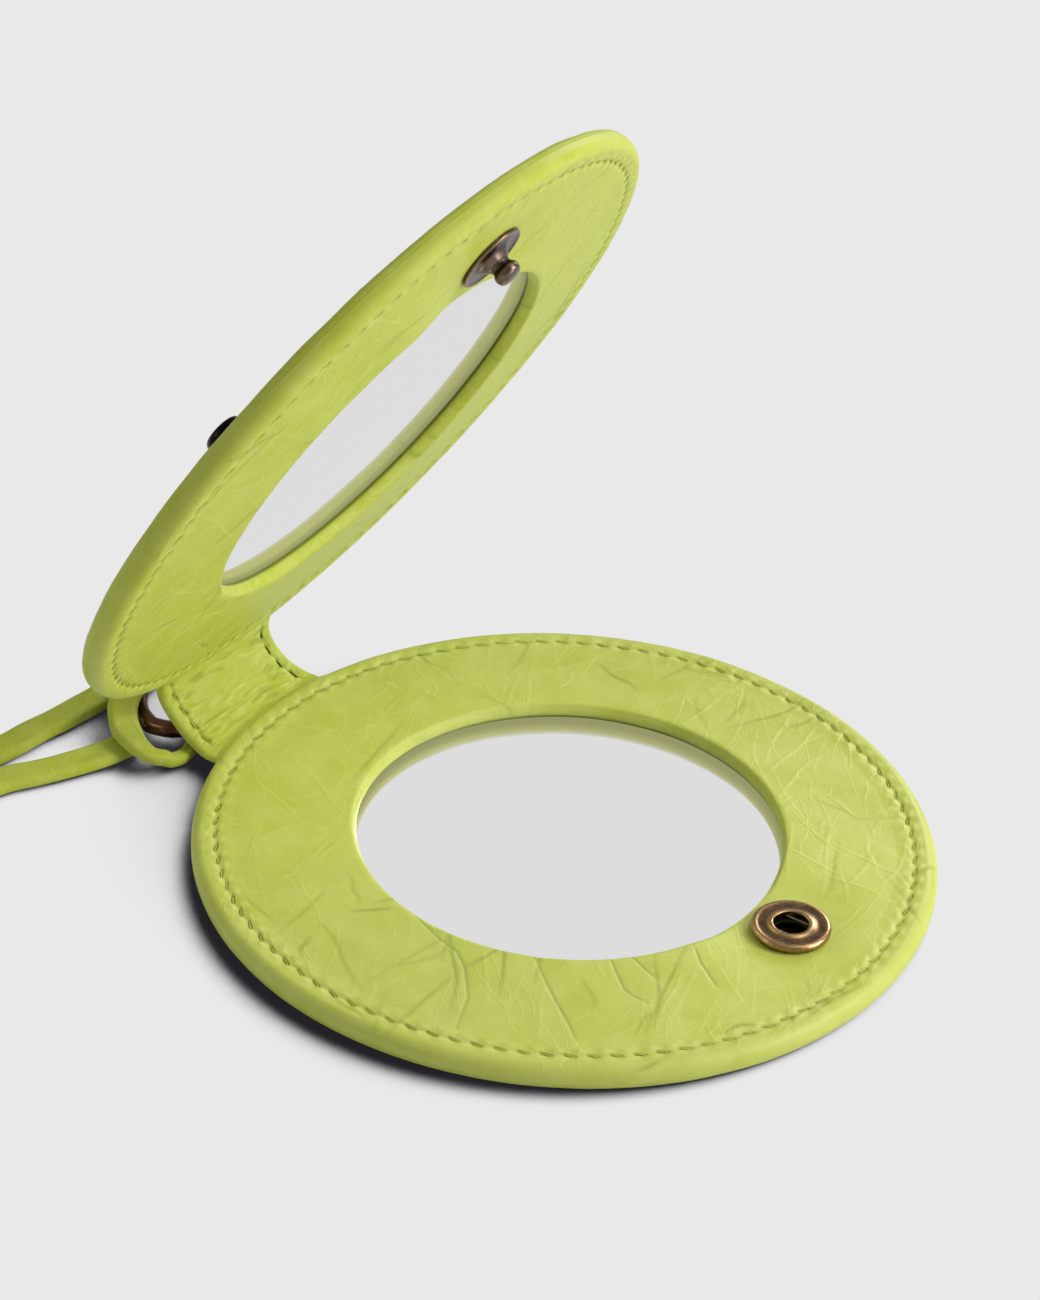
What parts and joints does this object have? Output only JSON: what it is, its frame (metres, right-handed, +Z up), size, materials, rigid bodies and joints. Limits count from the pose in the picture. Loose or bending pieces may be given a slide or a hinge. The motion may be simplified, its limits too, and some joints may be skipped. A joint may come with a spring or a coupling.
{
  "type": "folding mirror bag charm",
  "caption": "Round leather folding pocket mirror: leaves with round windows over mirrors, gusset hinge, press snap, dome stud, ring and strap loop",
  "frame": {"origin": "centre of the lower leaf's flat underside, on the surface that the lower leaf lies on", "axes": "+X runs from the gusset hinge to the press snap, +Y along the hinge axis, +Z up out of the lower mirror"},
  "size_m": [0.135, 0.1389, 0.0894],
  "materials": {
    "leather": "crinkled lime lambskin with a soft gloss",
    "board": "plain grey board, hidden",
    "mirror": "silvered glass",
    "brass": "antique brass, polished rims and darker recesses",
    "bronze": "dark gunmetal bronze, polished",
    "dark_bronze": "nearly black copper bronze, polished"
  },
  "bodies": {
    "lower_leaf": {"lower_outer_cover": "leather", "lower_inner_cover": "leather", "lower_backing_card": "board", "lower_spacer_board": "board", "lower_mirror": "mirror", "socket_rivet": "brass", "snap_socket": "brass", "snap_spring": "brass", "gusset_inner": "leather", "gusset_outer": "leather", "ring_keeper": "leather"},
    "upper_leaf": {"upper_outer_cover": "leather", "upper_inner_cover": "leather", "upper_backing_card": "board", "upper_spacer_board": "board", "upper_mirror": "mirror", "stud_rivet": "bronze", "snap_stud": "bronze", "dome_stud": "dark_bronze", "dome_washer": "dark_bronze"},
    "ring": {"carrier_ring": "dark_bronze", "strap_bight": "leather", "strap_loop": "leather"}
  },
  "joints": [
    {"name": "fold_hinge", "type": "hinge", "parent": "lower_leaf", "child": "upper_leaf", "pos_m": [-0.0507, 0, 0.00222], "axis": [0, -1, 0], "range_deg": [-61.9, 43], "deforming": ["gusset_inner", "gusset_outer"]},
    {"name": "ring_swing", "type": "hinge", "parent": "lower_leaf", "child": "ring", "pos_m": [-0.05121, -0.0012, 0.00204], "axis": [0, 1, 0], "range_deg": [-80, 10]}
  ]
}
